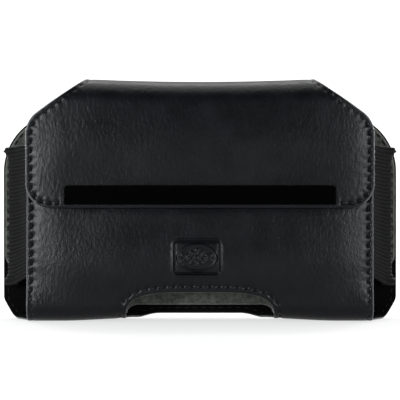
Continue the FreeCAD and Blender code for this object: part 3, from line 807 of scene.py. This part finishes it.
def layer(names, slot, back, pattern, faces, nodes):
    """One layer of the stack in three pieces: on the pouch, over the crease, and the flap."""
    ends = ((-1, S_CREASE), (S_CREASE, S_SPLIT), (S_SPLIT, S_END + 1))
    made = [sheet_piece(name, pattern, *span, *faces) for name, span in zip(names, ends)]
    finished(made[0], slot, "pouch", *nodes[0])
    finished(made[1], slot, LIFT_BODIES, *nodes[1], **LIFT)
    finished(made[2], slot, BEND_BODIES, *nodes[2], **BEND)
    for piece in made:
        piece.data.materials.append(back)
    return made


stamp_reach = np.array([STAMP_W, STAMP_H]) / 2 + 0.6
stamp_centre = np.array([STAMP_U, STAMP_S])
patch = (stamp_centre - stamp_reach, stamp_centre + stamp_reach, 0.2)
# how far in from the edges each layer has a ring of points
LEATHER_RINGS = (0, 0.05, 0.15, 0.3, 0.5, 0.8, 1.1, 1.35, 1.6, 1.85, 2.1, 2.5, 3.0)
FELT_RINGS = (0, 0.1, 0.3, 0.6, 0.9, 1.2, 1.6, 2.1)
blank = Pattern(0, LEATHER_CORNER, LEATHER_CUT, 1.1, 0.38, LEATHER_RINGS, [patch])
layer(
    ["wrap_leather", "crease_leather", "flap_leather"],
    "leather",
    leather_back(),
    blank,
    leather_faces(blank),
    [["outer_wrap"], ["flap_top_leather"], ["flap_front_leather"]],
)

lining = Pattern(FELT_MARGIN, FELT_CORNER, FELT_CUT, 1.6, 0.75, FELT_RINGS)
felts = layer(
    ["wrap_felt", "crease_felt", "flap_felt"],
    "felt",
    LOOKS["felt"],
    lining,
    felt_faces(lining),
    [["body_lining"], ["flap_top_lining"], ["flap_front_lining"]],
)


def flat_area(pattern, low, high):
    a, b, c = (pattern.pts[pattern.span(low, high)[:, k]] for k in range(3))
    return 0.5 * np.abs((b - a)[:, 0] * (c - a)[:, 1] - (b - a)[:, 1] * (c - a)[:, 0]).sum()


for piece, width, low, high in zip(
    felts,
    (2 * BACK_HALF, 2 * BACK_HALF, 2 * FLAP_HALF),
    (0, S_CREASE, S_SPLIT),
    (S_CREASE, S_SPLIT, S_END),
):
    area = flat_area(lining, low - 1, high + 1) * MM**2


def stitch_middles(seam):
    return seam.at(np.arange(seam.count) + 0.5)


def clear_of_bar(seam):
    """The stitches that don't lie under the trim bar."""
    middles = stitch_middles(seam)
    hidden = (middles[:, 1] > S_UNDER_BAR) & (np.abs(middles[:, 0]) < BAR_REACH)
    return np.flatnonzero(~hidden)


lower_seam, right_seam, flap_seam, left_seam = blank.seams
lower_runs = [(lower_seam, range(lower_seam.count))]
cut_runs = [(blank.cut_seam, range(blank.cut_seam.count))]
upper_runs = [(seam, range(seam.count)) for seam in (right_seam, left_seam)]
flap_runs = [(flap_seam, clear_of_bar(flap_seam))]
# the stitches that have no felt behind them: at the lower corners, and at the cut-out's rear edge
middle_u, middle_s = stitch_middles(lower_seam).T
bare = (np.abs(middle_u) > FRONT_HALF - 1) & (middle_s > S_BOTTOM) & (middle_s < FELT_CORNER[1])
cut_bare = stitch_middles(blank.cut_seam)[:, 1] > S_BOTTOM + 2
lined = [(lower_seam, np.flatnonzero(~bare)), (blank.cut_seam, np.flatnonzero(~cut_bare))]
unlined = [(lower_seam, np.flatnonzero(bare)), (blank.cut_seam, np.flatnonzero(cut_bare))]
# how far out of the leather's face the stitches lie
OUTSIDE, INSIDE = -0.42, -LAYERS - 0.05
for where, out in (("outer", OUTSIDE), ("inner", INSIDE)):
    outer = where == "outer"
    stitches = thread_piece(f"wrap_{where}_stitches", lower_runs if outer else lined, out)
    finished(stitches, "thread", "pouch", *(["front_seams"] if outer else []))
    stitches = thread_piece(f"crease_{where}_stitches", upper_runs, out)
    finished(stitches, "thread", LIFT_BODIES, *(["back_seams"] if outer else []), **LIFT)
    stitches = thread_piece(f"flap_{where}_stitches", flap_runs, out)
    finished(stitches, "thread", BEND_BODIES, *(["flap_seams"] if outer else []), **BEND)
finished(thread_piece("cutout_outer_stitches", cut_runs, OUTSIDE), "thread", "pouch", "cutout_seam")
finished(thread_piece("unlined_inner_stitches", unlined, -LEATHER), "thread", "pouch")


# ---- the boards in the lining ----

# the back board's half width at its top, and how fast it widens below, as its corners are cut off
BACK_BOARD_TOP, BACK_BOARD_SLANT = 43.5, 1.69
for node, (half, low, high, body) in BOARDS.items():
    u, s = np.meshgrid(np.linspace(-half, half, 61), np.linspace(low, high, 31))
    if node == "back_board":
        u = u * np.minimum(half, BACK_BOARD_TOP + BACK_BOARD_SLANT * (high - s)) / half
    pts = np.column_stack([u.ravel(), s.ravel()])
    faces = [placed(pts, -LEATHER - depth).reshape(*u.shape, 3) for depth in (0.03, BOARD)]
    finished(grid_piece(f"{node}_card", *faces), "board", body, node)


# ---- the elastic gussets ----

RIB, ROWS_A_RIB = 1.2, 7
WEB, RIB_HEIGHT = 0.28, 0.34
GUSSET_DROP, FOOT_DROP = 0.9, 2.8
BOW = 0.7
KNOT = 1.5
# the web seen from above, from the front panel's hem, out, and back to the back panel's, as (x, y)
GUSSET_LINE = rounded(
    [(52.6, -10.6), (56.4, -9.8), (58.4, -6.5), (64.7, 2.4), (64.3, 4.2), (60.6, 4.2)],
    (0, 1.2, 4, 1.3, 0.9, 0),
    0.25,
)


def gusset(name, side):
    """A ribbed elastic web that bows in a little, slants down to the back and ends there in two knots."""
    low, high = GUSSET_LOW[2], GUSSET_HIGH[2]
    z = np.linspace(low, high, round((high - low) / RIB * ROWS_A_RIB) + 1)
    tangent = unit(np.gradient(GUSSET_LINE, axis=0))
    normal = np.column_stack([tangent[:, 1], -tangent[:, 0]])
    along = lengths(GUSSET_LINE)
    share = along / along[-1]
    t = np.linspace(0, 1, len(z))
    bow = -BOW * np.outer(np.sin(np.pi * t), bell(share - 0.5, 0.22))
    rib = 0.5 - 0.5 * np.cos(2 * np.pi * (z - z[0]) / RIB)
    ends = 0.35 + 0.65 * np.clip(np.minimum(t, 1 - t) / 0.01, 0, 1) ** 0.5
    drop = np.outer(GUSSET_DROP + FOOT_DROP * (1 - t) ** 2, smooth(share, 0.1, 0.8)) - 0.4
    knots = np.outer(bell(z - z[0] - 1.2, 1.5) + bell(z - z[-1] + 1.2, 1.5), smooth(share, 0.6, 0.75))
    faces = []
    for half in (1, -1):
        thick = (WEB + RIB_HEIGHT * rib[:, None]) * ends[:, None] * half + bow
        xy = GUSSET_LINE[None] + normal[None] * thick[..., None]
        xyz = np.concatenate([xy, (z[:, None] - drop)[..., None]], -1)
        xyz[..., 0] += KNOT * knots
        faces.append(xyz * (side, 1, 1))
    piece = grid_piece(name, *(faces if side > 0 else faces[::-1]))
    # the rib's profile, from trough to crest, which the elastic's material also uses to paint shade in the
    # troughs and highlight on the crests
    point_value(piece, "rib", np.tile(np.repeat(rib, len(GUSSET_LINE)), 2))
    finished(piece, "elastic", "pouch", name.replace("_elastic", "_gusset"))


gusset("left_elastic", -1)
gusset("right_elastic", 1)


# ---- the CAD nodes that stay ----

# each node's slot and the width of its bevelled edges
KEPT = {
    "flap_bar": ("trim", 0.22),
    "clip_base": ("clip_plastic", 0.3),
    "clip_arm": ("clip_plastic", 0.35),
    "clip_pin": ("steel", 0.1),
    "clip_rivets": ("steel", 0.15),
    "rivet_washers": ("steel", 0.05),
    "bar_washers": ("steel", 0.05),
    "front_magnets": ("magnet", 0.12),
    "flap_magnets": ("magnet", 0.12),
}
for node, (slot, width) in KEPT.items():
    piece = bpy.data.objects[node]
    if not piece.material_slots:
        piece.data.materials.append(LOOKS[slot])
    for place in piece.material_slots:
        place.material = LOOKS[slot]
    bevel = piece.modifiers.new("edges", "BEVEL")
    bevel.width = width * MM
    bevel.segments = 3
    bevel.limit_method = "ANGLE"
    bevel.angle_limit = math.radians(40)
    bevel.harden_normals = True


# the spring is a copy of the CAD spring's wire, with a leg on the clip's base, a leg on its arm and a coil
# about the pin
wire = bpy.data.objects["clip_spring"].data.copy()
wire.materials.clear()
spring = bpy.data.objects.new("spring_wire", wire)
bpy.context.scene.collection.objects.link(spring)
COIL_HALF = 1.5
pin = (PIN_LOW + PIN_HIGH) / 2
turning = dict(start=(pin[1] - COIL_HALF, pin[2]), end=(pin[1] + COIL_HALF, pin[2]))
finished(spring, "steel", ("pouch", "clip_arm"), "clip_spring", **turning)


# ---- the stage, the lights and the camera ----


FLOOR_REACH, BACKDROP_Y, BACKDROP_TOP, BACKDROP_ROUND = 6000, 900, 1500, 400


def floor():
    """A pale floor that curves up into a backdrop behind the object."""
    corners = [(-FLOOR_REACH, 0), (BACKDROP_Y, 0), (BACKDROP_Y, BACKDROP_TOP)]
    line = rounded(corners, (0, BACKDROP_ROUND, 0), 20)
    x = np.linspace(-FLOOR_REACH, FLOOR_REACH, 25)
    upper = np.stack([np.column_stack([np.full(len(line), a), line]) for a in x])
    piece = grid_piece("studio_floor", upper, upper - (0, 0, 2))
    piece.data.materials.append(pale_paper())


def softbox(name, at, aim, size, power, colour=(1, 1, 1)):
    data = bpy.data.lights.new(name, "AREA")
    data.shape = "RECTANGLE"
    data.size, data.size_y = size[0] * MM, size[1] * MM
    data.energy, data.color = power, colour
    light = bpy.data.objects.new(name, data)
    light.location = Vector(at) * MM
    light.rotation_euler = (Vector(aim) - Vector(at)).to_track_quat("-Z", "Y").to_euler()
    bpy.context.scene.collection.objects.link(light)


COOL = (0.93, 0.97, 1)
floor()
softbox("top_softbox", (0, 60, 900), (0, 0, 40), (900, 700), 5.5)
softbox("left_softbox", (-330, -430, 92), (-20, -17, 40), (90, 165), 3.1, COOL)
softbox("right_softbox", (350, -450, 92), (20, -17, 40), (90, 165), 2.0, COOL)
for x in (-330, 330):
    softbox("back_softbox", (x, 560, 150), (0, 0, 40), (120, 160), 2.4)
softbox("backdrop_light", (0, 450, 750), (0, 950, 60), (1200, 400), 14)

scene = bpy.context.scene
scene.view_settings.view_transform = "Standard"
world = bpy.data.worlds.new("soft_grey")
world.use_nodes = True
background = world.node_tree.nodes["Background"]
background.inputs["Color"].default_value = (0.9, 0.93, 1, 1)
background.inputs["Strength"].default_value = 0.04
scene.world = world

CAMERA_AWAY, CAMERA_Z = 575.0, 40.2
camera_data = bpy.data.cameras.new("camera")
camera_data.sensor_width = 36
camera_data.lens = 157.8
camera = bpy.data.objects.new("camera", camera_data)
camera.location = Vector((0, FLAP_Y - CAMERA_AWAY, CAMERA_Z)) * MM
camera.rotation_euler = (math.pi / 2, 0, 0)
scene.collection.objects.link(camera)
scene.camera = camera
